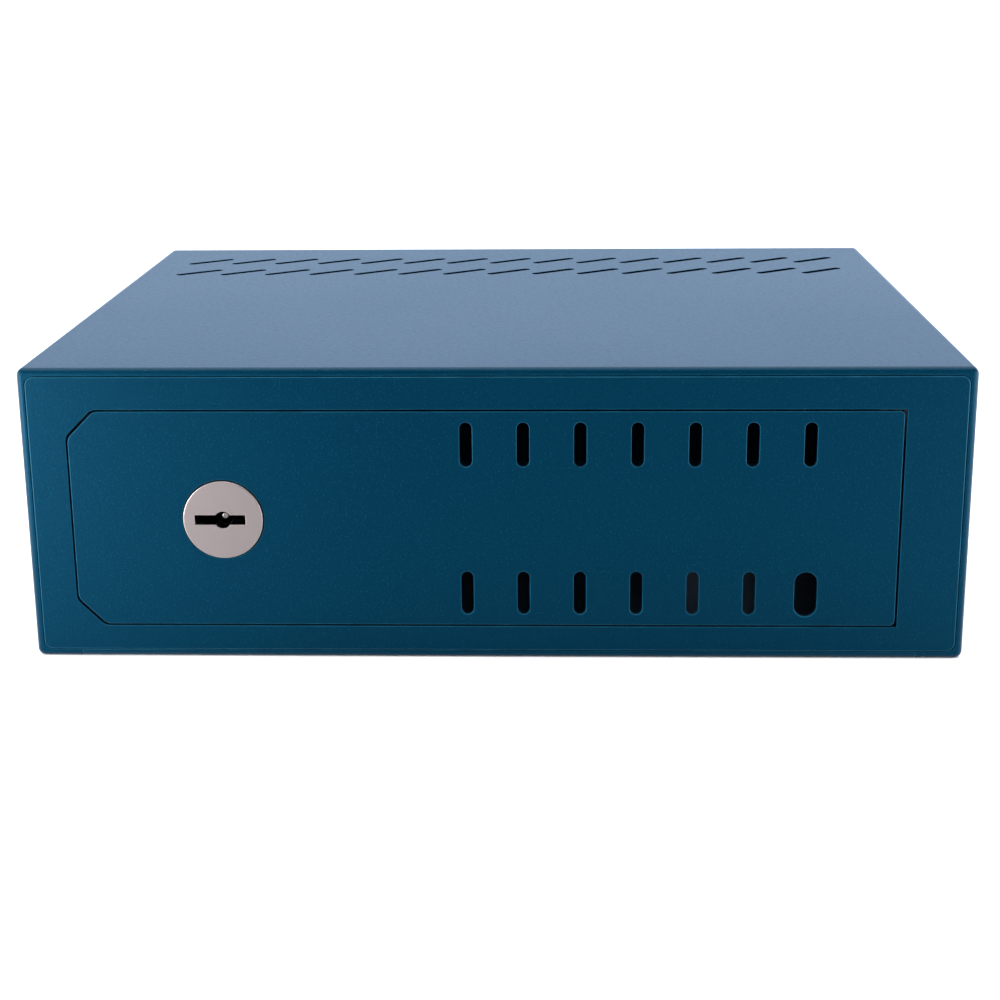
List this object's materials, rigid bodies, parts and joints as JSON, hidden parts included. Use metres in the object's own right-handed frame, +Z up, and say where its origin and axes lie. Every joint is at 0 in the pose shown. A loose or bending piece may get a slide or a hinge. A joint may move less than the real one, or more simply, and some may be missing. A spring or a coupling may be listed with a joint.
{
  "type": "lockable vented equipment cabinet",
  "caption": "Low steel security cabinet for a flat recorder, with a flush hinged door, double-bit lock and vent slots in door and top.",
  "frame": {"origin": "middle of the cabinet's footprint, on the surface it stands on", "axes": "+Z up, the door faces -Y, +X to the right when looking at the door"},
  "size_m": [0.5, 0.4, 0.16],
  "materials": {
    "blue_powder_coat": "fine-textured satin powder coat, deep petrol blue",
    "zinc_plate": "bright zinc plate over pressed steel",
    "satin_nickel": "satin nickel plate, very fine bead blast",
    "bare_steel": "machined steel, oiled",
    "lever_brass": "stamped brass",
    "grommet_rubber": "matt black rubber"
  },
  "bodies": {
    "cabinet": {"cabinet_wrapper": "blue_powder_coat", "floor_panel": "blue_powder_coat", "back_panel": "blue_powder_coat", "front_frame": "blue_powder_coat", "door_stop_upper": "blue_powder_coat", "door_stop_lower": "blue_powder_coat", "bolt_keeper": "zinc_plate", "hinge_bracket_upper": "blue_powder_coat", "hinge_bracket_lower": "blue_powder_coat", "hinge_pin_upper": "zinc_plate", "hinge_pin_lower": "zinc_plate", "hinge_washers": "zinc_plate", "cable_grommet": "grommet_rubber"},
    "door": {"door_plate": "blue_powder_coat", "door_stiffener": "blue_powder_coat", "hinge_knuckle_upper": "blue_powder_coat", "hinge_knuckle_lower": "blue_powder_coat", "lock_case": "zinc_plate", "lock_cover": "zinc_plate", "lock_studs": "zinc_plate", "lock_nuts": "zinc_plate", "lock_escutcheon": "satin_nickel", "guide_posts": "zinc_plate", "lever_post": "zinc_plate", "lever_spacers": "lever_brass", "lever_springs": "bare_steel"},
    "rotor": {"key_rotor": "bare_steel", "key_centre_pin": "satin_nickel"},
    "bolts": {"bolt_carriage": "bare_steel", "locking_bolt_upper": "zinc_plate", "locking_bolt_lower": "zinc_plate"},
    "lever_1": {"lever_1": "lever_brass"},
    "lever_2": {"lever_2": "lever_brass"},
    "lever_3": {"lever_3": "lever_brass"},
    "lever_4": {"lever_4": "lever_brass"}
  },
  "joints": [
    {"name": "door_swing", "type": "hinge", "parent": "cabinet", "child": "door", "pos_m": [0.1928, -0.191, 0.078], "axis": [0, 0, 1], "range_deg": [0, 110]},
    {"name": "key_rotor_turn", "type": "hinge", "parent": "door", "child": "rotor", "pos_m": [-0.1445, -0.186, 0.078], "axis": [0, 1, 0], "range_deg": [0, 180]},
    {"name": "bolt_throw", "type": "slide", "parent": "door", "child": "bolts", "axis": [-1, 0, 0], "range_m": [0, 0.01257]},
    {"name": "lever_1_lift", "type": "hinge", "parent": "door", "child": "lever_1", "pos_m": [-0.1205, -0.1886, 0.0995], "axis": [0, 1, 0], "range_deg": [0, 4], "stiffness_Nm_per_rad": 0.05, "springref_deg": -17.19, "deforming": ["lever_springs"]},
    {"name": "lever_2_lift", "type": "hinge", "parent": "door", "child": "lever_2", "pos_m": [-0.1205, -0.1862, 0.0995], "axis": [0, 1, 0], "range_deg": [0, 4], "stiffness_Nm_per_rad": 0.05, "springref_deg": -17.19, "deforming": ["lever_springs"]},
    {"name": "lever_3_lift", "type": "hinge", "parent": "door", "child": "lever_3", "pos_m": [-0.1205, -0.1838, 0.0995], "axis": [0, 1, 0], "range_deg": [0, 4], "stiffness_Nm_per_rad": 0.05, "springref_deg": -17.19, "deforming": ["lever_springs"]},
    {"name": "lever_4_lift", "type": "hinge", "parent": "door", "child": "lever_4", "pos_m": [-0.1205, -0.1814, 0.0995], "axis": [0, 1, 0], "range_deg": [0, 4], "stiffness_Nm_per_rad": 0.05, "springref_deg": -17.19, "deforming": ["lever_springs"]}
  ],
  "couplings": [
    {"joint": "key_rotor_turn", "follows": "bolt_throw", "rad_per_m": 250}
  ]
}
